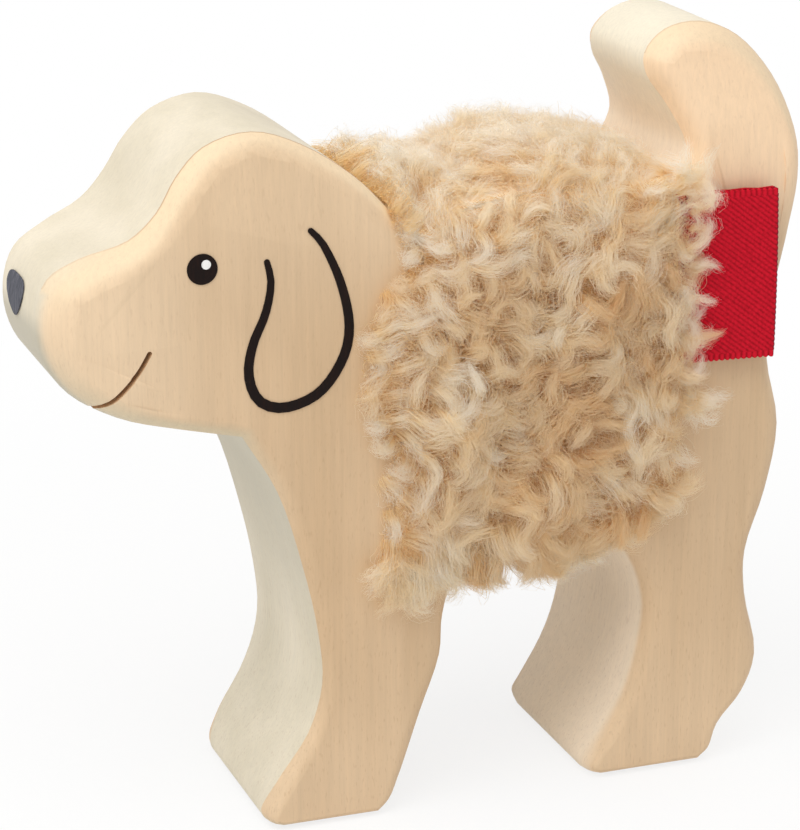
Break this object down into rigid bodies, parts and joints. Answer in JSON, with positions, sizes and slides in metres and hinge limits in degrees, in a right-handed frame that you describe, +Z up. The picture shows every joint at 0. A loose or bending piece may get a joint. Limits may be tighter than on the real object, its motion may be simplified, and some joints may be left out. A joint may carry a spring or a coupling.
{
  "type": "wooden dog figurine",
  "caption": "Standing dog sawn from a thick wooden plank with sanded edges, painted face, a curly plush band round its body and a small folded ribbon label.",
  "frame": {"origin": "on the floor under the middle of the dog's length and thickness", "axes": "the dog faces -X and its left side is towards -Y; +Z up"},
  "size_m": [0.107, 0.0436, 0.1071],
  "materials": {
    "wood": "sanded, bare pale wood",
    "plush": "curly pile",
    "ribbon": "woven twill",
    "dark_paint": "satin paint",
    "white_paint": "satin paint",
    "slate_paint": "thin matt paint"
  },
  "bodies": {
    "root": {"wooden_body": "wood", "plush_coat": "plush", "woven_label": "ribbon", "eye_left": "dark_paint", "eye_right": "dark_paint", "ear_line_left": "dark_paint", "ear_line_right": "dark_paint", "eye_glint_left": "white_paint", "eye_glint_right": "white_paint", "nose_paint": "slate_paint"}
  },
  "joints": []
}
